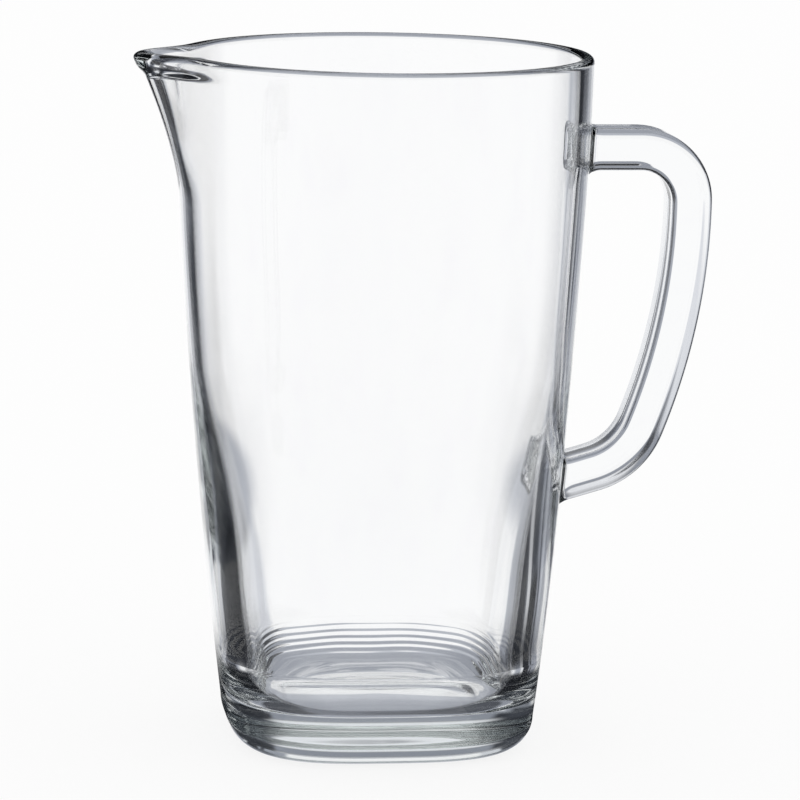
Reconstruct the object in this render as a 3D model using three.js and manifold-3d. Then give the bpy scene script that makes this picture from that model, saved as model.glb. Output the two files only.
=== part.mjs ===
// Glass pitcher. A blown vessel with a round mouth, a squared heavy base and a pouring lip,
// and a solid glass strap handle that is stuck on hot at an upper and a lower seat.
// Millimetres, +Z up. The origin is on the vessel's axis, on the plane that the base stands on.
// The handle is at +X and the pouring lip at -X.

import * as THREE from 'three';
import { mergeVertices } from 'three/addons/utils/BufferGeometryUtils.js';
import Module from 'manifold-3d';

// Vessel, outside
const HEIGHT = 225; // table to the top of the rim
const RIM_RADIUS = 67.5; // outside of the round mouth
const BASE_HALF_WIDTH = 49; // axis to the middle of a base side, where the taper meets the table
const TAPER_POWER = 1.6; // 1 is a straight taper, more keeps the flare for the lower half
const BASE_SQUARENESS = 3.2; // plan exponent at the base, where 2 is round
const ROUND_FROM = 140; // height from which the plan is round
const HEEL_RADIUS = 10.5; // round between the wall and the underside
const REST_RING_WIDTH = 4; // flat ring that stands on the table
const RECESS_DEPTH = 3; // how far the underside is domed up inside the ring

// Vessel, inside
const RIM_WALL = 4.5; // glass at the rim, which is melted to a half round
const BODY_WALL = 3.9; // glass half way up
const BASE_WALL = 8.3; // glass of the lower wall
const BASE_WALL_TO = 55; // height up to which the wall is that thick
const BODY_WALL_FROM = 125; // height from which it is as thin as half way up
const RIM_SWELL = 90; // how far below the rim the wall starts to swell to the rim's thickness
const FLOOR_HEIGHT = 16; // table to the flat floor
const FLOOR_ROUND_HEIGHT = 14; // upright half axis of the round between the floor and the wall inside
const FLOOR_ROUND_WIDTH = 7; // level half axis of that round

// Pouring lip
const LIP_REACH = 13.2; // how far the middle of the tip stands out from the round mouth
const LIP_DEPTH = 47; // how far below the rim the lip starts
const LIP_POWER = 1.6; // 1 is a straight slope, more curls the tip outwards
const LIP_SPREAD = THREE.MathUtils.degToRad(12); // angle each way in which its reach falls to a third
const LIP_BEAD = 1.5; // how far the rolled bead at the tip stands proud of each face
const LIP_BEAD_DEPTH = 6.4; // height of that bead
const LIP_BEAD_SPREAD = THREE.MathUtils.degToRad(18); // angle each way in which it falls to a third

// Handle
const STRAP_DEPTH = 13.4; // in the plane of the handle
const STRAP_WIDTH = 19; // across the plane of the handle
const STRAP_OUTER_EDGE = 3.6; // radius of the long edges on the strap's outer face
const STRAP_INNER_EDGE = 2; // radius of the long edges on the face towards the fingers
const UPPER_SEAT_DROP = 30.7; // rim to the middle of the upper arm
const LOWER_SEAT_HEIGHT = 85; // table to the middle of the lower seat
const HANDLE_REACH = 33.6; // wall to the middle of the grip, level with the upper arm
const SHOULDER_RADIUS = 17; // bend from the upper arm into the grip
const GRIP_RADIUS = 205; // bow of the grip
const ELBOW_RADIUS = 24; // bend from the grip into the lower arm
const LOWER_ARM_SLOPE = THREE.MathUtils.degToRad(16); // fall of the lower arm towards the wall
const SEAT_FLARE = 2.2; // how far the strap spreads on every side where it melts into the wall
const SEAT_FLARE_LENGTH = 6; // length of that spread
const WELD_GAP = 0.3; // clearance that stands for the fused joint
const STRAP_BURIAL = 9; // length of strap past the wall, trimmed off to the seat

// Facets
const AROUND = 64;
const WALL_STEPS = 20;
const HEEL_STEPS = 5;
const RIM_STEPS = 8;
const FILLET_STEPS = 8;
const RECESS_STEPS = 4;
const STRAP_STEPS = 60;
const EDGE_STEPS = 3;
const LIP_CROWDING = 0.5; // share by which the facets are narrower at the lip and wider at the handle
const RIM_CROWDING = 1.8; // 1 spaces the wall's rings evenly, more crowds them towards the rim

const wasm = await Module();
wasm.setup();

const ease = (t) => THREE.MathUtils.smoothstep(t, 0, 1);

// Angle of facet i from the handle, with the facets crowded together round the lip
function facetAngle(i) {
  const turn = (2 * Math.PI * i) / AROUND;
  return turn + LIP_CROWDING * Math.sin(turn);
}

// Heights of the wall's rings from a lower end up to the rim's shoulder
function wallHeights(lowest) {
  const rise = HEIGHT - RIM_WALL / 2 - lowest;
  return Array.from({ length: WALL_STEPS + 1 }, (_, i) => (
    lowest + rise * (1 - (1 - i / WALL_STEPS) ** RIM_CROWDING)
  ));
}

// Half width of the outside at a height, measured to the middle of a side
function outerHalf(z) {
  const fall = Math.max(0, (HEIGHT - z) / HEIGHT);
  return RIM_RADIUS - (RIM_RADIUS - BASE_HALF_WIDTH) * fall ** TAPER_POWER;
}

function wallThickness(z) {
  const toBase = ease((BODY_WALL_FROM - z) / (BODY_WALL_FROM - BASE_WALL_TO));
  const toRim = ease((z - (HEIGHT - RIM_SWELL)) / RIM_SWELL);
  return BODY_WALL + (BASE_WALL - BODY_WALL) * toBase + (RIM_WALL - BODY_WALL) * toRim;
}

// Plan exponent at a height: squared at the base, round above
function squareness(z) {
  return 2 + (BASE_SQUARENESS - 2) * ease(1 - z / ROUND_FROM);
}

// Share of the lip that has formed at a height: 0 below the lip, 1 at the rim
function lipShare(z) {
  return Math.max(0, 1 - (HEIGHT - z) / LIP_DEPTH) ** LIP_POWER;
}

// Share of the lip's rolled bead at a height: a half round
function beadShare(z) {
  const off = (2 * (HEIGHT - z)) / LIP_BEAD_DEPTH - 1;
  return Math.sqrt(Math.max(0, 1 - off * off));
}

// One point of the vessel's skin. The side is 1 on the outside and -1 on the inside.
function planPoint(half, z, side, angle) {
  const exponent = squareness(z);
  const cos = Math.cos(angle);
  const sin = Math.sin(angle);
  const round = (Math.abs(cos) ** exponent + Math.abs(sin) ** exponent) ** (1 / exponent);
  const fromLip = Math.acos(THREE.MathUtils.clamp(-cos, -1, 1));
  const pull = LIP_REACH * lipShare(z) * Math.exp(-((fromLip / LIP_SPREAD) ** 2));
  const bead = side * LIP_BEAD * beadShare(z) * Math.exp(-((fromLip / LIP_BEAD_SPREAD) ** 2));
  const radius = half / round + pull + bead;
  return new THREE.Vector3(radius * cos, radius * sin, z);
}

function planRing(half, z, side = 1) {
  return Array.from({ length: AROUND }, (_, i) => planPoint(half, z, side, facetAngle(i)));
}

// A closed skin through rings of equally many points, with its first and last ring closed to a point.
// The rings turn so that the skin's outside is on the right of the way from the first to the last.
function skin(rings, start, end) {
  const points = [start, ...rings.flat(), end];
  const count = rings[0].length;
  const last = points.length - 1;
  const index = [];
  for (let i = 0; i < count; i += 1) {
    const j = (i + 1) % count;
    index.push(0, 1 + j, 1 + i);
    for (let ring = 0; ring < rings.length - 1; ring += 1) {
      const low = 1 + ring * count;
      const high = low + count;
      index.push(low + i, low + j, high + j, low + i, high + j, high + i);
    }
    index.push(last, last - count + i, last - count + j);
  }
  const geometry = new THREE.BufferGeometry().setFromPoints(points);
  geometry.setIndex(index);
  return geometry;
}

function toManifold(geometry) {
  const merged = mergeVertices(geometry);
  const vertProperties = new Float32Array(merged.getAttribute('position').array);
  const triVerts = new Uint32Array(merged.getIndex().array);
  return new wasm.Manifold(new wasm.Mesh({ numProp: 3, vertProperties, triVerts }));
}

function toGeometry(solid) {
  const mesh = solid.getMesh();
  const geometry = new THREE.BufferGeometry();
  geometry.setAttribute('position', new THREE.BufferAttribute(mesh.vertProperties, 3));
  geometry.setIndex(new THREE.BufferAttribute(mesh.triVerts, 1));
  return geometry;
}

// Steps of a quarter or half round, as pairs of cosine and sine
function arcSteps(from, to, steps) {
  return Array.from({ length: steps + 1 }, (_, i) => {
    const angle = from + ((to - from) * i) / steps;
    return { cos: Math.cos(angle), sin: Math.sin(angle) };
  });
}

// Outside of the vessel from the heel up to the rim's shoulder, grown by a clearance
function outerRings(grow) {
  const heelHalf = outerHalf(HEEL_RADIUS) - HEEL_RADIUS;
  const rings = arcSteps(0, Math.PI / 2, HEEL_STEPS).map(({ cos, sin }) => (
    planRing(heelHalf + (HEEL_RADIUS + grow) * sin, HEEL_RADIUS * (1 - cos))
  ));
  wallHeights(HEEL_RADIUS).slice(1).forEach((z) => {
    rings.push(planRing(outerHalf(z) + grow, z));
  });
  return rings;
}

function vesselGeometry() {
  const restOuter = outerHalf(HEEL_RADIUS) - HEEL_RADIUS;
  const restInner = restOuter - REST_RING_WIDTH;
  const rings = [];
  for (let i = 1; i <= RECESS_STEPS; i += 1) {
    const share = i / RECESS_STEPS;
    rings.push(planRing(restInner * share, RECESS_DEPTH * (1 - share * share)));
  }
  rings.push(...outerRings(0));

  const bead = RIM_WALL / 2;
  const shoulder = HEIGHT - bead;
  const beadHalf = outerHalf(shoulder) - bead;
  arcSteps(0, Math.PI, RIM_STEPS).slice(1).forEach(({ cos, sin }) => {
    rings.push(planRing(beadHalf + bead * cos, shoulder + bead * sin, cos));
  });

  const filletTop = FLOOR_HEIGHT + FLOOR_ROUND_HEIGHT;
  wallHeights(filletTop).reverse().slice(1).forEach((z) => {
    rings.push(planRing(outerHalf(z) - wallThickness(z), z, -1));
  });
  const floorHalf = outerHalf(filletTop) - wallThickness(filletTop) - FLOOR_ROUND_WIDTH;
  arcSteps(0, Math.PI / 2, FILLET_STEPS).slice(1).forEach(({ cos, sin }) => {
    rings.push(planRing(floorHalf + FLOOR_ROUND_WIDTH * cos, filletTop - FLOOR_ROUND_HEIGHT * sin));
  });
  const underside = new THREE.Vector3(0, 0, RECESS_DEPTH);
  const floor = new THREE.Vector3(0, 0, FLOOR_HEIGHT);
  return skin(rings, underside, floor);
}

// The filled outside of the vessel with the weld's clearance, which trims the handle to its seats
function seatGeometry() {
  const rings = outerRings(WELD_GAP);
  return skin(rings, new THREE.Vector3(0, 0, 0), new THREE.Vector3(0, 0, HEIGHT));
}

// Centre line of the strap in the plane of the handle, from inside the upper seat to inside the lower one.
// It is a straight arm, three bends that turn the same way, and a straight arm.
function strapRoute() {
  const armZ = HEIGHT - UPPER_SEAT_DROP;
  const upperX = outerHalf(armZ);
  const lowerX = outerHalf(LOWER_SEAT_HEIGHT);
  const gripX = upperX + HANDLE_REACH;
  const gripZ = armZ - SHOULDER_RADIUS;
  const armTurn = Math.PI / 2 - LOWER_ARM_SLOPE;

  // Elbow's centre after the grip has turned by an angle from the upright
  const elbowCentre = (turn) => new THREE.Vector2(
    gripX - GRIP_RADIUS + (GRIP_RADIUS - ELBOW_RADIUS) * Math.cos(turn),
    gripZ - (GRIP_RADIUS - ELBOW_RADIUS) * Math.sin(turn),
  );
  // Height at which the lower arm then meets the wall
  const seatHeight = (turn) => {
    const centre = elbowCentre(turn);
    const armX = centre.x + ELBOW_RADIUS * Math.cos(armTurn);
    const armEnd = centre.y - ELBOW_RADIUS * Math.sin(armTurn);
    return armEnd - (armX - lowerX) * Math.tan(LOWER_ARM_SLOPE);
  };
  let least = 0;
  let most = armTurn;
  for (let i = 0; i < 50; i += 1) {
    const middle = (least + most) / 2;
    if (seatHeight(middle) > LOWER_SEAT_HEIGHT) least = middle;
    else most = middle;
  }
  const centre = elbowCentre(least);

  const route = new THREE.Path();
  route.moveTo(upperX - STRAP_BURIAL, armZ);
  route.lineTo(gripX - SHOULDER_RADIUS, armZ);
  route.absarc(gripX - SHOULDER_RADIUS, gripZ, SHOULDER_RADIUS, Math.PI / 2, 0, true);
  route.absarc(gripX - GRIP_RADIUS, gripZ, GRIP_RADIUS, 0, -least, true);
  route.absarc(centre.x, centre.y, ELBOW_RADIUS, -least, -armTurn, true);
  route.lineTo(lowerX - STRAP_BURIAL, LOWER_SEAT_HEIGHT - STRAP_BURIAL * Math.tan(LOWER_ARM_SLOPE));
  return route;
}

// Outline of the strap's section: x across the plane of the handle, y outwards in it
function strapSection(spread) {
  const corners = [[1, 1], [-1, 1], [-1, -1], [1, -1]];
  return corners.flatMap(([sideX, sideY], quarter) => {
    const edge = sideY > 0 ? STRAP_OUTER_EDGE : STRAP_INNER_EDGE;
    const across = STRAP_WIDTH / 2 + spread - edge;
    const deep = STRAP_DEPTH / 2 + spread - edge;
    const turn = (quarter * Math.PI) / 2;
    return arcSteps(turn, turn + Math.PI / 2, EDGE_STEPS).map(({ cos, sin }) => (
      new THREE.Vector2(sideX * across + edge * cos, sideY * deep + edge * sin)
    ));
  });
}

function handleGeometry() {
  const route = strapRoute();
  const length = route.getLength();
  const lowerBurial = STRAP_BURIAL / Math.cos(LOWER_ARM_SLOPE);
  const place = ({ x, y }) => new THREE.Vector3(x, 0, y);
  const rings = [];
  for (let i = 0; i <= STRAP_STEPS; i += 1) {
    const along = i / STRAP_STEPS;
    const fromSeat = Math.min(along * length - STRAP_BURIAL, (1 - along) * length - lowerBurial);
    const spread = SEAT_FLARE * THREE.MathUtils.clamp(1 - fromSeat / SEAT_FLARE_LENGTH, 0, 1) ** 2;
    const middle = route.getPointAt(along);
    const heading = route.getTangentAt(along);
    const outwards = new THREE.Vector2(-heading.y, heading.x);
    rings.push(strapSection(spread).map(({ x, y }) => (
      new THREE.Vector3(middle.x + outwards.x * y, x, middle.y + outwards.y * y)
    )));
  }
  const strap = skin(rings, place(route.getPointAt(0)), place(route.getPointAt(1)));
  return toGeometry(toManifold(strap).subtract(toManifold(seatGeometry())));
}

function glass(name, geometry, colour) {
  const material = new THREE.MeshStandardMaterial({
    color: colour,
    roughness: 0.02,
    metalness: 0,
    transparent: true,
    opacity: 0.3,
  });
  const mesh = new THREE.Mesh(geometry, material);
  mesh.name = name;
  return mesh;
}

const pitcher = new THREE.Group();
pitcher.add(glass('vessel', vesselGeometry(), 0xe6efec));
pitcher.add(glass('handle', handleGeometry(), 0xe9f1ef));

export default pitcher;
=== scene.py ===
"""Glass pitcher: a blown vessel with a squared base and a pouring lip, a strap handle and its studio."""

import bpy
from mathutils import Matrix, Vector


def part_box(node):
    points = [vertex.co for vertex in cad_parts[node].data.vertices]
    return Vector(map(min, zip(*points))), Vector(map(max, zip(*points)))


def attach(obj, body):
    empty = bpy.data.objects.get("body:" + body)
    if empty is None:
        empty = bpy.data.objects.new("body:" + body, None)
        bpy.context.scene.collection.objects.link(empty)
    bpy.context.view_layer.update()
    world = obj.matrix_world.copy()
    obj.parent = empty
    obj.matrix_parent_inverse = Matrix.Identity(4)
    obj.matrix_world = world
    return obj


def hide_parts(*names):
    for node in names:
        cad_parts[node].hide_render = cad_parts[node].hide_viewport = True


bl_info = {
    "name": "Glass pitcher",
    "version": (1, 0, 0),
    "blender": (4, 5, 0),
    "location": "3D View > Sidebar > Pitcher",
    "description": "Makes the clear vessel, its strap handle and the bright studio they stand in",
    "category": "Object",
}

import math

import bmesh
import bpy
from bpy.props import FloatProperty, FloatVectorProperty, IntProperty, PointerProperty
from mathutils import Matrix, Vector

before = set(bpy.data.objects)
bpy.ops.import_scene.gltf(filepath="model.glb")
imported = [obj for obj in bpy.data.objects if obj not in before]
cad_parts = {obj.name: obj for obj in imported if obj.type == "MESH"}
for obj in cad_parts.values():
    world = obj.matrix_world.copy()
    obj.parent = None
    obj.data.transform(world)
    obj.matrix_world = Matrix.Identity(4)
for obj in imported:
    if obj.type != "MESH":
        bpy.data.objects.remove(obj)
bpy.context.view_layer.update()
VESSEL_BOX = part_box("vessel")
PHOTO_SIDE = 800
MM = 0.001

# Rows of points along the vessel's section, and how far those of the wall crowd towards the rim.
RECESS_ROWS = 20
RING_ROWS = 4
HEEL_ROWS = 16
WALL_ROWS = 64
RIM_ROWS = 20
ROUND_ROWS = 96
FLOOR_ROWS = 48
RIM_CROWDING = 1.8

# Points along the strap's route, rings of its swelling at each seat and points on each rounded edge.
BEND_POINTS = 24
GRIP_POINTS = 48
SEAT_RINGS = 10
EDGE_POINTS = 8
HALVINGS = 60               # of the angle in which the end of the grip's bow is looked for

# How the waves and ripples of the glass come and go.
WAVE_FADE = 60 * MM         # depth below the rim over which the wall's waves set in
WAVE_SCALE = 28.0
RIPPLES_FROM = -10 * MM     # the ripples set in from here, across the floor, and are full at the next
RIPPLES_FULL = 20 * MM
ROUND_FADE = 1 / 3          # radians of the round over which the ripples set in
FLOOR_FADE = 1 / 4          # share of the floor, from its edge, over which they end
WANDER = 0.6                # how far a ripple strays, as a share of the way to the next one
WANDER_SCALE = 26.0
UNEVEN = 0.8                # how much the height of the ripples differs
UNEVEN_SCALE = 40.0

# Scale and detail of the finish's grain, the stretch of each grain that shows, and how it is drawn out.
SLOW_GRAIN = {"Scale": 34.0, "Detail": 1.5}
CORD_GRAIN = {"Scale": 120.0, "Detail": 2.0}
PATCH_GRAIN = {"Scale": 22.0, "Detail": 4.0}
CORD_SHOWS = (0.55, 0.75)
PATCH_SHOWS = (0.4, 0.6)
BLOWN_DRAW = (1, 1, 0.35)
STRAP_DRAW = (1, 1, 1)
STRAP_SHIFT = 0.7           # moves the strap's grain away from the vessel's
BLOWN_FADE = 25 * MM        # height over which the dullness of the blown wall sets in, and ends

# Where the strap meets the wall.
WELD_EDGE = 0.3 * MM        # how far the melted place stays inside the strap's end
MELTED_FROM = 0.05          # share of melting from which the glass has no skin
SAME_POINT = 2e-6
HAIR = 1e-6                 # a length too small to count
CAST_BACK = 30 * MM         # the wall is looked for from this far in front of the strap's end
CAST_LENGTH = 100 * MM


def length(name, text, default):
    return FloatProperty(name=name, description=text, default=default, unit="LENGTH", precision=5)


def plain(name, text, default):
    return FloatProperty(name=name, description=text, default=default, precision=4)


def count(name, text, default):
    return IntProperty(name=name, description=text, default=default, min=3)


def turn(name, text, degrees):
    return FloatProperty(name=name, description=text, default=math.radians(degrees), subtype="ANGLE")


def tone(name, text, default):
    return FloatVectorProperty(name=name, description=text, default=default, size=3, subtype="COLOR")


class PitcherVessel(bpy.types.PropertyGroup):
    """Sizes of the blown vessel"""

    height: length("Height", "Table to the top of the rim", VESSEL_BOX[1].z)
    rim_radius: length("Rim radius", "Outer radius of the round mouth", 67.4 * MM)
    base_half_width: length("Base half width", "Half width of the squared base", 49 * MM)
    taper_power: plain("Taper power", "How late the wall leans in towards the base", 1.6)
    base_squareness: plain("Base squareness", "Exponent of the base's plan, 2 is a circle", 3.2)
    round_from: length("Round from", "Height from which the plan is a circle", 140 * MM)
    heel_radius: length("Heel radius", "Rounding from the wall to the underside", 10.5 * MM)
    rest_ring_width: length("Rest ring width", "Width of the flat ring on the table", 4 * MM)
    recess_depth: length("Recess depth", "Height of the hollow under the base", 3 * MM)
    rim_wall: length("Rim wall", "Thickness of the wall at the rim", 4.5 * MM)
    body_wall: length("Body wall", "Thickness of the wall half way up", 3.9 * MM)
    base_wall: length("Base wall", "Thickness of the wall at the base", 8.3 * MM)
    base_wall_to: length("Base wall to", "Height up to which the wall is thick", 55 * MM)
    body_wall_from: length("Body wall from", "Height from which the wall is thin", 125 * MM)
    rim_swell: length("Rim swell", "Depth over which the wall thickens to the rim", 90 * MM)
    floor_height: length("Floor height", "Table to the flat floor inside", 16 * MM)
    floor_fillet: length("Floor fillet", "Height of the round from the floor to the inside wall", 14 * MM)
    floor_inset: length("Floor inset", "Width of the round from the floor to the inside wall", 7 * MM)
    floor_ripple: length("Floor ripple", "Height of the ripples from chilling round the floor", 0.13 * MM)
    edge_spacing: length("Edge spacing", "From one ripple to the next in the round of the floor", 2.2 * MM)
    ring_spacing: length("Ring spacing", "From one ripple to the next in the middle of the floor", 8 * MM)
    wall_wave: length("Wall wave", "Depth of the slow waves inside the wall", 0.02 * MM)
    lip_reach: length("Lip reach", "How far the pouring lip is pulled out", 13.2 * MM)
    lip_depth: length("Lip depth", "Depth below the rim over which the lip swells", 47 * MM)
    lip_power: plain("Lip power", "How suddenly the lip swells", 1.6)
    lip_spread: turn("Lip spread", "Half angle that the lip takes of the rim", 12)
    lip_bead: length("Lip bead", "How far the rolled bead at the tip stands proud of each face", 1.5 * MM)
    lip_bead_depth: length("Lip bead depth", "Height of that bead", 6.4 * MM)
    lip_bead_spread: turn("Lip bead spread", "Half angle that the bead takes of the rim", 18)
    lip_crowding: plain("Lip crowding", "How far the columns crowd towards the lip", 0.5)
    around: count("Around", "Columns around the vessel", 256)


class PitcherHandle(bpy.types.PropertyGroup):
    """Sizes of the strap handle"""

    strap_depth: length("Strap depth", "Thickness of the strap, seen from the side", 13.4 * MM)
    strap_width: length("Strap width", "Width of the strap across the pitcher", 19 * MM)
    outer_edge: length("Outer edge", "Rounding of the long edges on the strap's outer face", 3.6 * MM)
    inner_edge: length("Inner edge", "Rounding of the long edges towards the fingers", 2 * MM)
    upper_seat_drop: length("Upper seat drop", "Rim to the middle of the upper seat", 30.7 * MM)
    lower_seat_height: length("Lower seat height", "Table to the middle of the lower seat", 85 * MM)
    reach: length("Reach", "Wall to the middle of the grip", 33.6 * MM)
    shoulder_radius: length("Shoulder radius", "Bend from the upper arm into the grip", 17 * MM)
    grip_radius: length("Grip radius", "Slow bow of the grip", 205 * MM)
    elbow_radius: length("Elbow radius", "Bend from the grip into the lower arm", 24 * MM)
    lower_arm_slope: turn("Lower arm slope", "Fall of the lower arm towards the wall", 16)
    seat_flare: plain("Seat flare", "How much wider the strap is where it meets the wall", 0.22)
    seat_flare_length: length("Seat flare length", "How far out the seat's swelling reaches", 4 * MM)
    seat_press: length("Seat press", "How far out the strap follows the wall's own curve", 12 * MM)
    seat_sink: length("Seat sink", "How far the strap's end melts into the wall", 0.6 * MM)
    step: length("Step", "Spacing of the rings along the strap", 1.2 * MM)
    around: count("Around", "Points around the strap", 112)


class PitcherGlass(bpy.types.PropertyGroup):
    """Finish of the glass"""

    clear: tone("Clear", "Colour of the clear glass", (1.0, 1.0, 1.0))
    cord: tone("Cord", "Colour of the faint cords in the glass", (0.985, 0.98, 0.99))
    tint: tone("Tint", "Colour that thick glass takes on", (0.76, 0.84, 0.82))
    depth: plain("Depth", "How strongly thick glass is tinted, per metre", 3.0)
    ior: plain("Refraction", "Index of refraction", 1.52)
    wave: length("Wave", "Height of the slow waves on the blown surface", 0.008 * MM)
    smudge: plain("Smudge", "Roughness of the duller patches of the blown wall", 0.05)
    polish: plain("Polish", "Roughness of the brighter patches of the blown wall", 0.04)
    clear_to: length("Clear to", "Height up to which the moulded base has no roughness", 45 * MM)
    clear_from: length("Clear from", "Height from which the fire-polished rim has no roughness", 160 * MM)


class PitcherStage(bpy.types.PropertyGroup):
    """Camera and studio"""

    camera_distance: length("Camera distance", "Axis of the pitcher to the camera", 1.4)
    camera_turn: turn("Camera turn", "Direction of the camera, from straight in front", -7)
    camera_rise: turn("Camera rise", "Angle at which the camera looks down on the rim", 5.75)
    camera_roll: turn("Camera roll", "Tilt of the picture", 0.9)
    aim_height: length("Aim height", "Height at which the camera is aimed", 112 * MM)
    scale: plain("Scale", "Picture points to a millimetre at the axis", 3.067)
    middle_x: plain("Middle across", "Column of the picture that the aim falls on", 380.0)
    middle_y: plain("Middle down", "Row of the picture that the aim falls on", 397.7)
    floor_side: length("Floor side", "Side of the floor", 12.0)
    floor_tone: tone("Floor tone", "Colour of the pale floor", (0.9, 0.9, 0.9))
    floor_glow: plain("Floor glow", "Share of the floor that shows as plain white", 0.86)
    tent_radius: length("Tent radius", "Radius of the ring of cards round the glass", 2.6)


class PitcherSettings(bpy.types.PropertyGroup):
    """Everything that can be changed"""

    vessel: PointerProperty(type=PitcherVessel)
    handle: PointerProperty(type=PitcherHandle)
    glass: PointerProperty(type=PitcherGlass)
    stage: PointerProperty(type=PitcherStage)


class Tree:
    """A node tree that is filled from the left, one node at a time."""

    def __init__(self, tree):
        self.tree = tree

    def node(self, kind, inputs=None, **settings):
        """Adds a node; inputs are values or sockets, by name or by place."""
        node = self.tree.nodes.new(kind)
        for key, value in settings.items():
            setattr(node, key, value)
        for key, value in (inputs or {}).items():
            if isinstance(value, bpy.types.NodeSocket):
                self.tree.links.new(value, node.inputs[key])
            else:
                node.inputs[key].default_value = value
        return node

    def sum(self, operation, *values):
        """One math node's result."""
        return self.node("ShaderNodeMath", dict(enumerate(values)), operation=operation).outputs[0]

    def ramp(self, value, low, high, to_low=0.0, to_high=1.0, kind="LINEAR"):
        """A value carried from one range to another, held at both ends."""
        ends = {"Value": value, "From Min": low, "From Max": high, "To Min": to_low, "To Max": to_high}
        return self.node("ShaderNodeMapRange", ends, interpolation_type=kind).outputs["Result"]

    def mix(self, share, first, second):
        """A colour between two others."""
        node = self.node("ShaderNodeMix", data_type="RGBA")
        for key, value in (("Factor_Float", share), ("A_Color", first), ("B_Color", second)):
            socket = next(s for s in node.inputs if s.identifier == key)
            if isinstance(value, bpy.types.NodeSocket):
                self.tree.links.new(value, socket)
            else:
                socket.default_value = value
        return next(s for s in node.outputs if s.identifier == "Result_Color")

    def split(self, vector):
        return self.node("ShaderNodeSeparateXYZ", {0: vector}).outputs

    def join(self, x, y, z):
        return self.node("ShaderNodeCombineXYZ", {0: x, 1: y, 2: z}).outputs[0]


def blank_material(name):
    """A new material without nodes, as (material, its tree)."""
    material = bpy.data.materials.new(name)
    material.use_nodes = True
    material.node_tree.nodes.clear()
    return material, Tree(material.node_tree)


def geometry_tree(name, inputs):
    """A new geometry tree with named inputs, as (tree, its input sockets by name)."""
    group = bpy.data.node_groups.new(name, "GeometryNodeTree")
    face = group.interface
    face.new_socket("Geometry", in_out="OUTPUT", socket_type="NodeSocketGeometry")
    face.new_socket("Geometry", in_out="INPUT", socket_type="NodeSocketGeometry")
    for label, kind in inputs.items():
        face.new_socket(label, in_out="INPUT", socket_type="NodeSocket" + kind)
    tree = Tree(group)
    return tree, tree.node("NodeGroupInput").outputs


def close_tree(tree, geometry, material):
    """Ends a geometry tree in smooth, real faces of one material."""
    smooth = tree.node("GeometryNodeSetShadeSmooth", {"Geometry": geometry}).outputs[0]
    real = tree.node("GeometryNodeRealizeInstances", {"Geometry": smooth}).outputs[0]
    done = tree.node("GeometryNodeSetMaterial", {"Geometry": real, "Material": material}).outputs[0]
    tree.node("NodeGroupOutput", {"Geometry": done})
    return tree.tree


def link(name, data):
    piece = bpy.data.objects.new(name, data)
    bpy.context.scene.collection.objects.link(piece)
    return piece


def grow(source, group, values, name):
    """Runs a geometry tree on an object and returns the plain mesh object that comes out."""
    modifier = source.modifiers.new(group.name, "NODES")
    modifier.node_group = group
    for item in group.interface.items_tree:
        if item.in_out == "INPUT" and item.name in values:
            modifier[item.identifier] = values[item.name]
    graph = bpy.context.evaluated_depsgraph_get()
    mesh = bpy.data.meshes.new_from_object(source.evaluated_get(graph), depsgraph=graph)
    bpy.data.objects.remove(source)
    if len(mesh.polygons) == 0:
        raise RuntimeError(f"{name} came out empty")
    mesh.name = name
    return link(name, mesh)


def ease(share):
    share = min(max(share, 0.0), 1.0)
    return share * share * (3 - 2 * share)


def steps(first, last, number, both=False):
    """Evenly spaced values after first up to last, or from first where both ends are wanted."""
    start = 0 if both else 1
    return [first + (last - first) * i / number for i in range(start, number + 1)]


def outer_half(v, z):
    fall = max(0.0, (v.height - z) / v.height) ** v.taper_power
    return v.rim_radius - (v.rim_radius - v.base_half_width) * fall


def wall(v, z):
    thick = ease((v.body_wall_from - z) / (v.body_wall_from - v.base_wall_to))
    swell = ease((z - v.height + v.rim_swell) / v.rim_swell)
    return v.body_wall + (v.base_wall - v.body_wall) * thick + (v.rim_wall - v.body_wall) * swell


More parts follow.
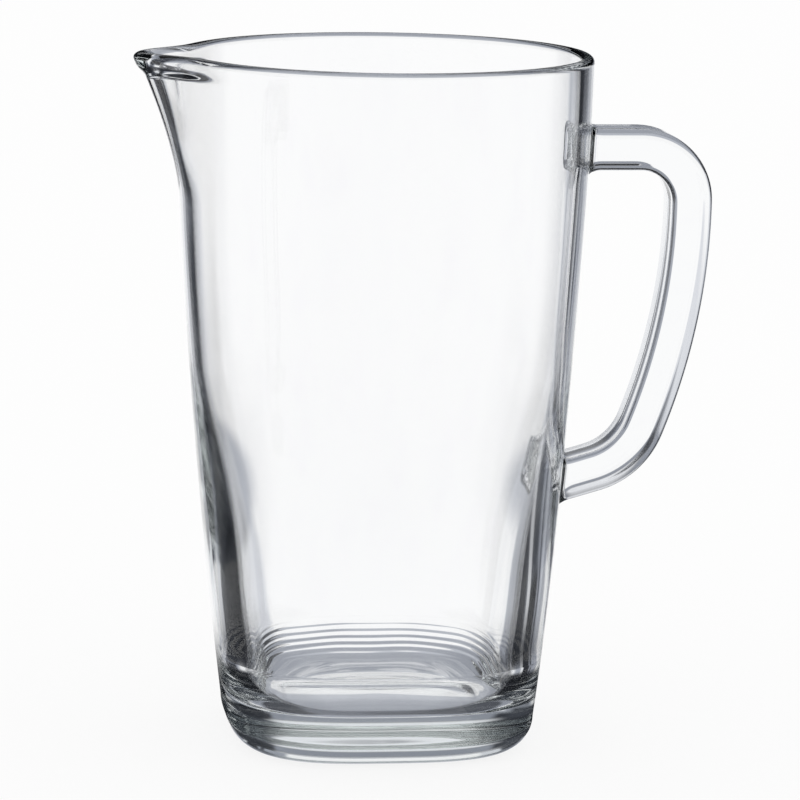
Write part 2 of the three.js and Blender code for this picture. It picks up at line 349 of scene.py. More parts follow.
def meridian(v):
    """Stations of the vessel's section, from under the base over the rim to the middle of the floor.

    Each is a half width, a height, a side that is 1 outside and -1 inside, a share of the wall's waves,
    a share of the floor's ripples and a count of them.
    """
    rest_outer = outer_half(v, v.heel_radius) - v.heel_radius
    rest_inner = rest_outer - v.rest_ring_width
    stations = []
    for s in steps(0, 1, RECESS_ROWS, True):
        stations.append((rest_inner * s, v.recess_depth * (1 - s * s), 1, 0, 0, 0))
    stations += [(half, 0, 1, 0, 0, 0) for half in steps(rest_inner, rest_outer, RING_ROWS)]
    for a in steps(0, math.pi / 2, HEEL_ROWS):
        out, up = math.sin(a), 1 - math.cos(a)
        stations.append((rest_outer + v.heel_radius * out, v.heel_radius * up, 1, 0, 0, 0))
    shoulder = v.height - v.rim_wall / 2
    for share in steps(0, 1, WALL_ROWS):
        z = shoulder - (shoulder - v.heel_radius) * (1 - share) ** RIM_CROWDING
        stations.append((outer_half(v, z), z, 1, 0, 0, 0))
    bead = v.rim_wall / 2
    middle = outer_half(v, shoulder) - bead
    for a in steps(0, math.pi, RIM_ROWS):
        stations.append((middle + bead * math.cos(a), shoulder + bead * math.sin(a), math.cos(a), 0, 0, 0))
    fillet_top = v.floor_height + v.floor_fillet
    for share in steps(0, 1, WALL_ROWS):
        z = shoulder + (fillet_top - shoulder) * share ** RIM_CROWDING
        stations.append((outer_half(v, z) - wall(v, z), z, -1, ease((v.height - z) / WAVE_FADE), 0, 0))
    floor_half = outer_half(v, fillet_top) - wall(v, fillet_top) - v.floor_inset
    ripples = 0.0
    for a in steps(0, math.pi / 2, ROUND_ROWS):
        out, down = v.floor_inset * math.cos(a), v.floor_fillet * math.sin(a)
        slant = math.hypot(v.floor_inset * math.sin(a), v.floor_fillet * math.cos(a))
        way = slant * math.pi / (2 * ROUND_ROWS)
        ripples += way / v.edge_spacing
        begun = ease(a / ROUND_FADE)
        stations.append((floor_half + out, fillet_top - down, -1, 1 - ease(a), begun, ripples))
    for s in steps(1, 0, FLOOR_ROWS):
        ripples += floor_half / FLOOR_ROWS / v.ring_spacing
        left = ease(1 - (1 - s) / FLOOR_FADE)
        stations.append((floor_half * s, v.floor_height, -1, 0, left, ripples))
    return stations


def meridian_object(v):
    """The stations as a chain of points that carry how much each one waves and ripples."""
    stations = meridian(v)
    mesh = bpy.data.meshes.new("vessel_meridian")
    mesh.from_pydata([(s[0], 0, s[1]) for s in stations], [(i, i + 1) for i in range(len(stations) - 1)], [])
    for label, place in (("side", 2), ("wave", 3), ("ripple", 4), ("ripples", 5)):
        mesh.attributes.new(label, "FLOAT", "POINT").data.foreach_set("value", [s[place] for s in stations])
    return link("vessel_meridian", mesh)


def vessel_tree():
    """Turns the meridian round the axis into the squared base, the round mouth and the pouring lip."""
    inputs = {
        "Around": "Int",
        "Height": "Float",
        "Squareness": "Float",
        "Round from": "Float",
        "Lip reach": "Float",
        "Lip depth": "Float",
        "Lip power": "Float",
        "Lip spread": "Float",
        "Lip bead": "Float",
        "Lip bead depth": "Float",
        "Lip bead spread": "Float",
        "Lip crowding": "Float",
        "Wall wave": "Float",
        "Floor ripple": "Float",
        "Material": "Material",
    }
    t, get = geometry_tree("Vessel from its meridian", inputs)
    chain = get["Geometry"]
    stations = t.node("GeometryNodeAttributeDomainSize", {"Geometry": chain}).outputs["Point Count"]
    columns = t.sum("ADD", get["Around"], 1)
    sheet = t.node("GeometryNodeMeshGrid", {"Vertices X": stations, "Vertices Y": columns}).outputs["Mesh"]
    place = t.node("GeometryNodeInputIndex").outputs[0]
    row = t.sum("FLOOR", t.sum("DIVIDE", t.sum("ADD", place, 0.5), columns))
    column = t.sum("SUBTRACT", place, t.sum("MULTIPLY", row, columns))

    def station(field, kind):
        ask = {"Geometry": chain, "Value": field, "Index": row}
        return t.node("GeometryNodeSampleIndex", ask, data_type=kind).outputs[0]

    def share(label):
        return station(t.node("GeometryNodeInputNamedAttribute", {"Name": label}).outputs[0], "FLOAT")

    half, _, z = t.split(station(t.node("GeometryNodeInputPosition").outputs[0], "FLOAT_VECTOR"))[:3]
    even = t.sum("MULTIPLY", t.sum("DIVIDE", column, get["Around"]), 2 * math.pi)
    angle = t.sum("ADD", even, t.sum("MULTIPLY", t.sum("SINE", even), get["Lip crowding"]))
    cos, sin = t.sum("COSINE", angle), t.sum("SINE", angle)
    power = t.ramp(z, 0.0, get["Round from"], get["Squareness"], 2.0, "SMOOTHSTEP")
    corners = [t.sum("POWER", t.sum("ABSOLUTE", side), power) for side in (cos, sin)]
    roundness = t.sum("POWER", t.sum("ADD", *corners), t.sum("DIVIDE", 1.0, power))

    lip_foot = t.sum("SUBTRACT", get["Height"], get["Lip depth"])
    swell = t.sum("POWER", t.ramp(z, lip_foot, get["Height"]), get["Lip power"])

    def fold(spread):
        aside = t.sum("DIVIDE", t.sum("SUBTRACT", angle, math.pi), spread)
        return t.sum("EXPONENT", t.sum("MULTIPLY", t.sum("MULTIPLY", aside, aside), -1.0))

    half_bead = t.sum("DIVIDE", get["Lip bead depth"], 2.0)
    off = t.sum("SUBTRACT", t.sum("DIVIDE", t.sum("SUBTRACT", get["Height"], z), half_bead), 1.0)
    roll = t.sum("SQRT", t.sum("MAXIMUM", t.sum("SUBTRACT", 1.0, t.sum("MULTIPLY", off, off)), 0.0))
    bead = t.sum("MULTIPLY", t.sum("MULTIPLY", roll, get["Lip bead"]), share("side"))
    pull = t.sum("MULTIPLY", t.sum("MULTIPLY", swell, get["Lip reach"]), fold(get["Lip spread"]))
    lip = t.sum("ADD", pull, t.sum("MULTIPLY", bead, fold(get["Lip bead spread"])))

    flat = t.sum("DIVIDE", half, roundness)
    spot = t.join(t.sum("MULTIPLY", flat, cos), t.sum("MULTIPLY", flat, sin), z)

    def swing(spot, scale):
        noise = t.node("ShaderNodeTexNoise", {"Vector": spot, "Scale": scale, "Detail": 1.0}).outputs[0]
        return t.sum("MULTIPLY", t.sum("SUBTRACT", noise, 0.5), 2.0)

    sway = t.sum("MULTIPLY", t.sum("MULTIPLY", swing(spot, WAVE_SCALE), get["Wall wave"]), share("wave"))
    radius = t.sum("SUBTRACT", t.sum("ADD", flat, lip), sway)
    point = t.join(t.sum("MULTIPLY", radius, cos), t.sum("MULTIPLY", radius, sin), z)
    shaped = t.node("GeometryNodeSetPosition", {"Geometry": sheet, "Position": point}).outputs[0]

    keep = t.node("GeometryNodeCaptureAttribute", {"Geometry": shaped})
    for label in ("ripple", "ripples"):
        keep.capture_items.new("FLOAT", label)
        t.tree.links.new(share(label), keep.inputs[label])
    closed = {"Geometry": keep.outputs["Geometry"], "Distance": SAME_POINT}
    closed = t.node("GeometryNodeMergeByDistance", closed).outputs[0]
    here = t.node("GeometryNodeInputPosition").outputs[0]
    turns = t.sum("ADD", keep.outputs["ripples"], t.sum("MULTIPLY", swing(here, WANDER_SCALE), WANDER))
    uneven = t.sum("ADD", t.sum("MULTIPLY", swing(here, UNEVEN_SCALE), UNEVEN), 1.0)
    height = t.sum("MULTIPLY", t.sum("MULTIPLY", uneven, get["Floor ripple"]), keep.outputs["ripple"])
    height = t.sum("MULTIPLY", height, t.ramp(t.split(here)[1], RIPPLES_FROM, RIPPLES_FULL))
    push = t.sum("MULTIPLY", t.sum("SINE", t.sum("MULTIPLY", turns, 2 * math.pi)), height)
    normal = t.node("GeometryNodeInputNormal").outputs[0]
    offset = t.node("ShaderNodeVectorMath", {0: normal, "Scale": push}, operation="SCALE").outputs[0]
    rippled = t.node("GeometryNodeSetPosition", {"Geometry": closed, "Offset": offset}).outputs[0]
    return close_tree(t, rippled, get["Material"])


def strap_route(v, h):
    """Middle line of the strap: upper arm, shoulder, bowed grip, elbow and lower arm, wall to wall."""
    arm_z = v.height - h.upper_seat_drop
    upper = Vector((outer_half(v, arm_z), arm_z))
    grip = Vector((upper.x + h.reach, arm_z - h.shoulder_radius))
    lower = Vector((outer_half(v, h.lower_seat_height), h.lower_seat_height))
    arm_turn = math.pi / 2 - h.lower_arm_slope
    bow = Vector((grip.x - h.grip_radius, grip.y))
    along = Vector((-math.cos(h.lower_arm_slope), -math.sin(h.lower_arm_slope)))
    outward = Vector((math.cos(arm_turn), -math.sin(arm_turn)))

    def spoke(a):
        return Vector((math.cos(a), -math.sin(a)))

    def elbow_middle(a):
        return bow + spoke(a) * (h.grip_radius - h.elbow_radius)

    def miss(a):
        start = elbow_middle(a) + outward * h.elbow_radius
        reach = (lower.x - start.x) / along.x
        return start.y + along.y * reach - lower.y

    low, high = 0.0, arm_turn
    for _ in range(HALVINGS):
        middle = (low + high) / 2
        low, high = (middle, high) if miss(middle) > 0 else (low, middle)
    sweep = low
    shoulder = grip - Vector((h.shoulder_radius, 0))
    elbow = elbow_middle(sweep)
    line = [upper, shoulder + Vector((0, h.shoulder_radius))]
    for a in steps(0, math.pi / 2, BEND_POINTS):
        line.append(shoulder + Vector((math.sin(a), math.cos(a))) * h.shoulder_radius)
    line += [bow + spoke(a) * h.grip_radius for a in steps(0, sweep, GRIP_POINTS)]
    line += [elbow + spoke(a) * h.elbow_radius for a in steps(sweep, arm_turn, BEND_POINTS)]
    line.append(lower)
    return line


def seats(v, h):
    """Where the strap melts into the wall: the least x, height, half width and half depth of each seat."""
    places = []
    for z, slope in ((v.height - h.upper_seat_drop, 0.0), (h.lower_seat_height, h.lower_arm_slope)):
        lean = (outer_half(v, z + MM) - outer_half(v, z - MM)) / (2 * MM)
        cos, sin = math.cos(slope), math.sin(slope)
        stretch = cos + sin * (sin + lean * cos) / (cos - lean * sin)
        grown = 1 + h.seat_flare
        least = outer_half(v, z) - wall(v, z) / 2
        places.append((least, z, grown * h.strap_width / 2, grown * stretch * h.strap_depth / 2))
    return places


def spaced(line, first, step):
    """Points along a line, close together at both ends and a step apart between them."""
    lengths = [0.0]
    for a, b in zip(line, line[1:]):
        lengths.append(lengths[-1] + (b - a).length)
    whole = lengths[-1]
    ends = [first * share * share for share in steps(0, 1, SEAT_RINGS, True)]
    number = round((whole - 2 * first) / step)
    stops = ends + steps(first, whole - first, number)[:-1] + [whole - d for d in reversed(ends)]
    points, part = [], 0
    for stop in stops:
        while part < len(line) - 2 and lengths[part + 1] < stop:
            part += 1
        share = (stop - lengths[part]) / (lengths[part + 1] - lengths[part])
        points.append(line[part].lerp(line[part + 1], min(max(share, 0.0), 1.0)))
    return points


def route_object(v, h):
    points = spaced(strap_route(v, h), h.seat_flare_length, h.step)
    curve = bpy.data.curves.new("strap_route", "CURVE")
    curve.dimensions = "3D"
    spline = curve.splines.new("POLY")
    spline.points.add(len(points) - 1)
    for slot, point in zip(spline.points, points):
        slot.co = (point.x, 0, point.y, 1)
    return link("strap_route", curve)


def strap_tree():
    """Sweeps the rounded strap along its route and presses its two flared ends on to the wall."""
    inputs = {
        "Width": "Float",
        "Depth": "Float",
        "Outer edge": "Float",
        "Inner edge": "Float",
        "Around": "Int",
        "Flare": "Float",
        "Flare length": "Float",
        "Press length": "Float",
        "Sink": "Float",
        "Wall": "Object",
        "Material": "Material",
    }
    t, get = geometry_tree("Strap along its route", inputs)
    along = t.node("GeometryNodeSplineParameter").outputs["Length"]
    whole = t.node("GeometryNodeSplineLength").outputs["Length"]
    back = t.sum("SUBTRACT", whole, along)
    late = t.sum("GREATER_THAN", along, back)
    tangent = t.node("GeometryNodeInputTangent").outputs[0]
    side = t.sum("SUBTRACT", t.sum("MULTIPLY", late, 2.0), 1.0)
    inward = t.node("ShaderNodeVectorMath", {0: tangent, "Scale": side}, operation="SCALE").outputs[0]
    nearer = t.sum("MINIMUM", along, back)

    keep = t.node("GeometryNodeCaptureAttribute", {"Geometry": get["Geometry"]})
    keep.capture_items.new("FLOAT", "From seat")
    keep.capture_items.new("VECTOR", "Inward")
    t.tree.links.new(nearer, keep.inputs["From seat"])
    t.tree.links.new(inward, keep.inputs["Inward"])
    from_seat, to_wall = keep.outputs["From seat"], keep.outputs["Inward"]
    across = {"Curve": keep.outputs["Geometry"], "Normal": (0.0, 1.0, 0.0)}
    route = t.node("GeometryNodeSetCurveNormal", across, mode="FREE").outputs[0]

    bare = t.node("GeometryNodeCurvePrimitiveQuadrilateral", {"Width": get["Width"], "Height": get["Depth"]})
    corner = t.split(t.node("GeometryNodeInputPosition").outputs[0])[1]
    edge = t.ramp(corner, -HAIR, HAIR, get["Inner edge"], get["Outer edge"])
    edged = {"Curve": bare.outputs[0], "Count": EDGE_POINTS, "Radius": edge, "Limit Radius": True}
    rounded = t.node("GeometryNodeFilletCurve", edged, mode="POLY").outputs[0]
    section = t.node("GeometryNodeResampleCurve", {"Curve": rounded, "Count": get["Around"]}).outputs[0]

    close = t.ramp(from_seat, 0.0, get["Flare length"], 1.0, 0.0)
    hollow = t.sum("SUBTRACT", 1.0, t.sum("SQRT", t.sum("SUBTRACT", 1.0, t.sum("MULTIPLY", close, close))))
    size = t.sum("ADD", 1.0, t.sum("MULTIPLY", hollow, get["Flare"]))
    sweep = {"Curve": route, "Profile Curve": section, "Scale": size, "Fill Caps": True}
    strap = t.node("GeometryNodeCurveToMesh", sweep).outputs[0]

    here = t.node("GeometryNodeInputPosition").outputs[0]
    away = t.node("ShaderNodeVectorMath", {0: to_wall, "Scale": -CAST_BACK}, operation="SCALE").outputs[0]
    start = t.node("ShaderNodeVectorMath", {0: here, 1: away}, operation="ADD").outputs[0]
    vessel = t.node("GeometryNodeObjectInfo", {"Object": get["Wall"]}).outputs["Geometry"]
    cast = {"Target Geometry": vessel, "Source Position": start, "Ray Direction": to_wall}
    hit = t.node("GeometryNodeRaycast", {**cast, "Ray Length": CAST_LENGTH}).outputs
    beyond = t.sum("SUBTRACT", t.sum("SUBTRACT", hit["Hit Distance"], CAST_BACK), from_seat)
    share = t.ramp(from_seat, 0.0, get["Press length"], 1.0, 0.0, "SMOOTHSTEP")
    sink = t.sum("MULTIPLY", t.sum("LESS_THAN", from_seat, HAIR), get["Sink"])
    push = t.sum("ADD", t.sum("MULTIPLY", beyond, share), sink)
    press = t.node("ShaderNodeVectorMath", {0: to_wall, "Scale": push}, operation="SCALE").outputs[0]
    landed = {"Geometry": strap, "Selection": hit["Is Hit"], "Offset": press}
    pressed = t.node("GeometryNodeSetPosition", landed).outputs[0]
    merged = t.node("GeometryNodeMergeByDistance", {"Geometry": pressed, "Distance": SAME_POINT}).outputs[0]
    marks = {"Geometry": merged, "Name": "seat", "Value": t.sum("LESS_THAN", from_seat, HAIR)}
    marked = t.node("GeometryNodeStoreNamedAttribute", marks, data_type="FLOAT", domain="POINT").outputs[0]
    return close_tree(t, marked, get["Material"])


def wall_seats(t, where, places, edge):
    """1 on the wall where the strap is melted on to it, so that the two glasses run into one another."""
    x, y, z = t.split(where)[:3]
    melted = 0.0
    for least, height, half_width, half_depth in places:
        gaps = []
        for off, half in ((y, half_width), (t.sum("SUBTRACT", z, height), half_depth)):
            gaps.append(t.sum("MAXIMUM", t.sum("SUBTRACT", t.sum("ABSOLUTE", off), half - edge), 0.0))
        far = t.sum("SQRT", t.sum("ADD", *(t.sum("MULTIPLY", gap, gap) for gap in gaps)))
        near = t.sum("LESS_THAN", far, edge - WELD_EDGE)
        inside = t.sum("MULTIPLY", near, t.sum("GREATER_THAN", x, least))
        melted = t.sum("MAXIMUM", inside, melted)
    return melted


def glass(name, g, draw, shift, places=None, edge=0.0):
    """Clear glass with slow waves, faint cords and duller patches, and no skin where it is melted on."""
    material, t = blank_material(name)
    where = t.node("ShaderNodeTexCoord").outputs["Object"]
    moved = {"Vector": where, "Location": (shift, 0, 0), "Scale": draw}
    drawn = t.node("ShaderNodeMapping", moved).outputs[0]
    slow = t.node("ShaderNodeTexNoise", {"Vector": drawn, **SLOW_GRAIN}).outputs[0]
    cords = t.node("ShaderNodeTexNoise", {"Vector": drawn, **CORD_GRAIN}).outputs[0]
    patch = t.node("ShaderNodeTexNoise", {"Vector": where, **PATCH_GRAIN}).outputs[0]
    mixed = t.mix(t.ramp(cords, *CORD_SHOWS), (*g.clear, 1), (*g.cord, 1))
    bumped = t.node("ShaderNodeBump", {"Strength": 1.0, "Distance": g.wave, "Height": slow}).outputs[0]
    height = t.split(where)[2]
    blown = t.ramp(height, g.clear_to, g.clear_to + BLOWN_FADE)
    polished = t.ramp(height, g.clear_from - BLOWN_FADE, g.clear_from, 1.0, 0.0)
    blown = t.sum("MULTIPLY", blown, polished)
    dull = t.sum("MULTIPLY", blown, t.ramp(patch, *PATCH_SHOWS, g.polish, g.smudge))
    if places:
        melted = wall_seats(t, where, places, edge)
    else:
        melted = t.node("ShaderNodeAttribute", attribute_name="seat").outputs["Fac"]
    shader = t.node(
        "ShaderNodeBsdfPrincipled",
        {
            "Base Color": mixed,
            "Roughness": dull,
            "Transmission Weight": 1.0,
            "IOR": g.ior,
            "Alpha": t.sum("LESS_THAN", melted, MELTED_FROM),
            "Normal": bumped,
        },
    ).outputs[0]
    inside = t.node("ShaderNodeVolumeAbsorption", {"Color": (*g.tint, 1), "Density": g.depth}).outputs[0]
    t.node("ShaderNodeOutputMaterial", {"Surface": shader, "Volume": inside})
    return material


def outward(piece):
    """Turns every face outwards and makes sure that the mesh is closed."""
    mesh = bmesh.new()
    mesh.from_mesh(piece.data)
    bmesh.ops.recalc_face_normals(mesh, faces=mesh.faces)
    holes = sum(1 for edge in mesh.edges if not edge.is_manifold)
    mesh.to_mesh(piece.data)
    mesh.free()
    if holes:
        raise RuntimeError(f"{piece.name} has {holes} open edges")


class PITCHER_OT_vessel(bpy.types.Operator):
    """Makes the blown vessel with its squared base and pouring lip"""

    bl_idname = "pitcher.vessel"
    bl_label = "Vessel"

    def execute(self, context):
        settings = context.scene.pitcher
        v, h = settings.vessel, settings.handle
        clear = glass("blown_clear_glass", settings.glass, BLOWN_DRAW, 0.0, seats(v, h), h.outer_edge)
        values = {
            "Around": v.around,
            "Height": v.height,
            "Squareness": v.base_squareness,
            "Round from": v.round_from,
            "Lip reach": v.lip_reach,
            "Lip depth": v.lip_depth,
            "Lip power": v.lip_power,
            "Lip spread": v.lip_spread,
            "Lip bead": v.lip_bead,
            "Lip bead depth": v.lip_bead_depth,
            "Lip bead spread": v.lip_bead_spread,
            "Lip crowding": v.lip_crowding,
            "Wall wave": v.wall_wave,
            "Floor ripple": v.floor_ripple,
            "Material": clear,
        }
        piece = grow(meridian_object(v), vessel_tree(), values, "blown_vessel")
        outward(piece)
        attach(piece, "root")
        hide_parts("vessel")
        return {"FINISHED"}


class PITCHER_OT_handle(bpy.types.Operator):
    """Makes the strap handle that is stuck on to the vessel"""

    bl_idname = "pitcher.handle"
    bl_label = "Handle"

    def execute(self, context):
        settings = context.scene.pitcher
        v, h = settings.vessel, settings.handle
        if "blown_vessel" not in bpy.data.objects:
            raise RuntimeError("make the vessel before its handle")
        values = {
            "Width": h.strap_width,
            "Depth": h.strap_depth,
            "Outer edge": h.outer_edge,
            "Inner edge": h.inner_edge,
            "Around": h.around,
            "Flare": h.seat_flare,
            "Flare length": h.seat_flare_length,
            "Press length": h.seat_press,
            "Sink": h.seat_sink,
            "Wall": bpy.data.objects["blown_vessel"],
            "Material": glass("drawn_clear_glass", settings.glass, STRAP_DRAW, STRAP_SHIFT),
        }
        piece = grow(route_object(v, h), strap_tree(), values, "strap_handle")
        outward(piece)
        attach(piece, "root")
        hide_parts("handle")
        return {"FINISHED"}


# The cards round the glass, as seen from it, the later ones in front. Each has its middle and half size
# across, with 0 behind the glass and 180 at the camera, the same upwards, the softness of its edge, all in
# degrees, and its level.
ROOM_LEVEL = 0.4
CARDS = (
    ("ceiling", 0, 180, 54, 44, 4, 0.04),
    ("ceiling_right", 66, 60, 52, 16, 10, 0.14),
    ("ceiling_front", 180, 50, 30, 24, 8, 0.1),
    ("ceiling_back", 0, 26, 37, 15, 6, 0.8),
    ("overhead", 0, 180, 80, 22, 8, 0.95),
    ("overhead_back", 12, 30, 58, 10, 6, 0.8),
    ("table", 0, 180, -62, 50, 4, 0.32),
    ("table_under", 0, 180, -84, 22, 8, 0.16),
    ("front", 180, 84, -26, 26, 8, 0.9),
    ("wall_left", -112, 62, -6, 12, 4, 0.96),
    ("wall_right", 118, 56, -4, 10, 4, 0.9),
    ("table_far", 0, 24, -13, 6, 4, 0.48),
    ("table_left", -44, 24, -36, 30, 4, 0.06),
    ("table_right", 46, 26, -44, 34, 6, 0.08),
    ("horizon", 0, 22, 15, 6, 2, 0.28),
    ("horizon_left", -52, 24, 14, 9, 3, 0.06),
    ("horizon_right", 62, 38, 14, 10, 3, 0.03),
    ("flag_left", -35, 10, -6, 9, 3, 0.04),
    ("flag_left_low", -48, 24, -15, 5, 2, 0.015),
    ("grey_right", 26, 9, -9, 11, 2, 0.36),
    ("flag_right", 41, 8, -2, 10, 2, 0.02),
    ("flag_right_low", 59, 6, -16, 6, 2, 0.02),
    ("strip_right", 29.5, 1.5, -9, 11, 1, 0.06),
    ("strip_right_far", 48, 2.6, -9, 12, 1, 0.8),
    ("field_left", -20.5, 4.5, -1, 9.5, 1, 0.72),
    ("field", -0.5, 16.5, 0, 10.5, 1.2, 0.98),
)

# Dark cards close to the glass, as seen from the camera: three stand round the rim, two lie beside the base.
# Each has two opposite corners in millimetres, with x to the right, y away from the camera and z up.
DARK_LEVEL = 0.01
DARK_CARDS = (
    ((-220, 200, 227), (220, 200, 300)),      # stands behind the rim
    ((-220, -140, 227), (-220, 200, 300)),    # stands left of the rim
    ((220, -140, 227), (220, 200, 300)),      # stands right of the rim
    ((-52, -120, 0.5), (-220, 160, 0.5)),     # lies left of the base
    ((52, -140, 0.5), (240, 160, 0.5)),       # lies right of the base
)
FADE_OUT = (0.3, 1.0)       # shares of a lying card's width between which it fades, away from the base
FADE_ALONG = (0.1, 0.5)     # shares of its length, from its middle, between which it fades
COOL = (0.91, 1.0, 1.22)    # tone that the darkest cards come near to


def card_colour(level):
    """A level of light, bluer the darker it is."""
    return [level * (level + (1 - level) * cool) for cool in COOL] + [1.0]


def tent_material():
    """Light and dark cards round the glass, each with a soft edge."""
    material, t = blank_material("studio_cards")
    here = t.node("ShaderNodeTexCoord").outputs["Object"]
    x, y, z = t.split(t.node("ShaderNodeVectorMath", {0: here}, operation="NORMALIZE").outputs[0])[:3]
    around = t.sum("ARCTAN2", x, t.sum("MULTIPLY", z, -1.0))
    up = t.sum("ARCSINE", y)
    light = card_colour(ROOM_LEVEL)
    for _, across, half_across, rise, half_rise, soft, level in CARDS:
        off = t.sum("WRAP", t.sum("SUBTRACT", around, math.radians(across)), math.pi, -math.pi)
        inside = 1.0
        for gap, half in ((off, half_across), (t.sum("SUBTRACT", up, math.radians(rise)), half_rise)):
            ends = [math.radians(half - soft), math.radians(half + soft)]
            inside = t.sum("MULTIPLY", t.ramp(t.sum("ABSOLUTE", gap), *ends, 1.0, 0.0, "SMOOTHSTEP"), inside)
        light = t.mix(inside, light, card_colour(level))
    glow = t.node("ShaderNodeEmission", {"Color": light, "Strength": 1.0}).outputs[0]
    t.node("ShaderNodeOutputMaterial", {"Surface": glow})
    return material


def dark_cards():
    """The dark cards close to the glass, as one object that faces along -Y. Those that lie fade out."""
    mesh = bpy.data.meshes.new("dark_cards")
    corners, places = [], []
    for first, last in DARK_CARDS:
        (x0, y0, z0), (x1, y1, z1) = (tuple(value * MM for value in corner) for corner in (first, last))
        if z0 == z1:
            corners += [(x0, y0, z0), (x1, y0, z0), (x1, y1, z0), (x0, y1, z0)]
            places += [(0, 0), (1, 0), (1, 1), (0, 1)]
        else:
            corners += [(x0, y0, z0), (x1, y1, z0), (x1, y1, z1), (x0, y0, z1)]
            places += [(0, 0.5)] * 4
    mesh.from_pydata(corners, [], [tuple(range(i, i + 4)) for i in range(0, len(corners), 4)])
    mesh.uv_layers.new(name="fade").data.foreach_set("uv", [value for place in places for value in place])
    material, t = blank_material("dark_card")
    out, along = t.split(t.node("ShaderNodeUVMap", uv_map="fade").outputs[0])[:2]
    off_middle = t.sum("ABSOLUTE", t.sum("SUBTRACT", along, 0.5))
    fades = [t.ramp(out, *FADE_OUT, 1.0, 0.0, "SMOOTHSTEP")]
    fades.append(t.ramp(off_middle, *FADE_ALONG, 1.0, 0.0, "SMOOTHSTEP"))
    glow = t.node("ShaderNodeEmission", {"Color": card_colour(DARK_LEVEL), "Strength": 1.0}).outputs[0]
    clear = t.node("ShaderNodeBsdfTransparent").outputs[0]
    card = t.node("ShaderNodeMixShader", {0: t.sum("MULTIPLY", *fades), 1: clear, 2: glow}).outputs[0]
    t.node("ShaderNodeOutputMaterial", {"Surface": card})
    mesh.materials.append(material)
    return link("dark_cards", mesh)


def floor_material(s):
    """A pale floor that shows as white and keeps the shadow."""
    material, t = blank_material("pale_floor")
    matt = t.node("ShaderNodeBsdfDiffuse", {"Color": (*s.floor_tone, 1)}).outputs[0]
    glow = t.node("ShaderNodeEmission", {"Color": (1, 1, 1, 1), "Strength": 1.0}).outputs[0]
    seen = t.node("ShaderNodeLightPath").outputs["Is Camera Ray"]
    share = t.sum("MULTIPLY", seen, s.floor_glow)
    both = t.node("ShaderNodeMixShader", {0: share, 1: matt, 2: glow}).outputs[0]
    t.node("ShaderNodeOutputMaterial", {"Surface": both})
    return material


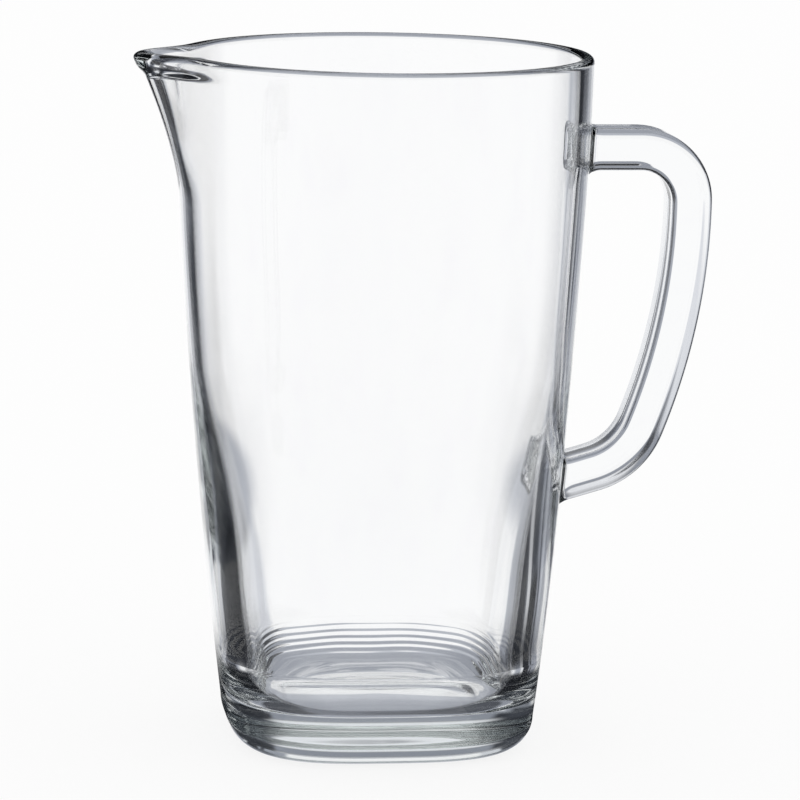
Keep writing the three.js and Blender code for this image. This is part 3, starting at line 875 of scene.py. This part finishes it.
class PITCHER_OT_stage(bpy.types.Operator):
    """Sets up the camera, the pale floor, the white background and the cards round the glass"""

    bl_idname = "pitcher.stage"
    bl_label = "Stage"

    def execute(self, context):
        scene = context.scene
        s, v = scene.pitcher.stage, scene.pitcher.vessel
        camera = link("camera", bpy.data.cameras.new("camera"))
        rise = v.height + s.camera_distance * math.tan(s.camera_rise)
        side, back = math.sin(s.camera_turn), -math.cos(s.camera_turn)
        camera.location = (side * s.camera_distance, back * s.camera_distance, rise)
        aim = Vector((0, 0, s.aim_height))
        way = math.hypot(s.camera_distance, rise - s.aim_height)
        camera.data.lens = camera.data.sensor_width * s.scale * way / MM / PHOTO_SIDE
        camera.data.shift_x = (PHOTO_SIDE / 2 - s.middle_x) / PHOTO_SIDE
        camera.data.shift_y = (s.middle_y - PHOTO_SIDE / 2) / PHOTO_SIDE
        camera.data.clip_end = 100
        camera.rotation_mode = "QUATERNION"
        looking = (aim - camera.location).to_track_quat("-Z", "Y")
        camera.rotation_quaternion = looking @ Matrix.Rotation(s.camera_roll, 4, "Z").to_quaternion()
        scene.camera = camera

        half = s.floor_side / 2
        corners = [(-half, -half, 0), (half, -half, 0), (half, half, 0), (-half, half, 0)]
        sheet = bpy.data.meshes.new("floor")
        sheet.from_pydata(corners, [], [(0, 1, 2, 3)])
        sheet.materials.append(floor_material(s))
        floor = link("floor", sheet)
        floor.visible_transmission = floor.visible_glossy = False

        bpy.ops.mesh.primitive_uv_sphere_add(segments=64, ring_count=32, radius=s.tent_radius, location=aim)
        tent = context.object
        tent.name = "card_tent"
        tent.data.materials.append(tent_material())
        facing = tent.constraints.new("TRACK_TO")
        facing.target = camera
        facing.track_axis, facing.up_axis = "TRACK_Z", "UP_Y"
        flags = dark_cards()
        turning = flags.constraints.new("LOCKED_TRACK")
        turning.target = camera
        turning.track_axis, turning.lock_axis = "TRACK_NEGATIVE_Y", "LOCK_Z"
        for card in (tent, flags):
            card.visible_camera = card.visible_diffuse = card.visible_shadow = False

        world = bpy.data.worlds.new("white_room")
        world.use_nodes = True
        world.node_tree.nodes["Background"].inputs["Color"].default_value = (1, 1, 1, 1)
        world.node_tree.nodes["Background"].inputs["Strength"].default_value = 1.0
        scene.world = world
        scene.view_settings.view_transform = "Standard"
        scene.cycles.max_bounces = scene.cycles.transmission_bounces = 48
        scene.cycles.glossy_bounces = scene.cycles.transparent_max_bounces = 24
        return {"FINISHED"}


class PITCHER_PT_sidebar(bpy.types.Panel):
    """Buttons and sizes of the pitcher"""

    bl_idname = "PITCHER_PT_sidebar"
    bl_label = "Glass pitcher"
    bl_space_type = "VIEW_3D"
    bl_region_type = "UI"
    bl_category = "Pitcher"

    def draw(self, context):
        settings = context.scene.pitcher
        rows = (
            (PITCHER_OT_vessel, settings.vessel),
            (PITCHER_OT_handle, settings.handle),
            (None, settings.glass),
            (PITCHER_OT_stage, settings.stage),
        )
        for operator, group in rows:
            box = self.layout.box()
            if operator is not None:
                box.operator(operator.bl_idname)
            for name in group.__annotations__:
                box.prop(group, name)


CLASSES = (
    PitcherVessel,
    PitcherHandle,
    PitcherGlass,
    PitcherStage,
    PitcherSettings,
    PITCHER_OT_vessel,
    PITCHER_OT_handle,
    PITCHER_OT_stage,
    PITCHER_PT_sidebar,
)


def register():
    for cls in CLASSES:
        bpy.utils.register_class(cls)
    bpy.types.Scene.pitcher = PointerProperty(type=PitcherSettings)


def unregister():
    del bpy.types.Scene.pitcher
    for cls in reversed(CLASSES):
        bpy.utils.unregister_class(cls)


def main():
    register()
    bpy.ops.pitcher.vessel()
    bpy.ops.pitcher.handle()
    bpy.ops.pitcher.stage()


if __name__ == "__main__":
    main()
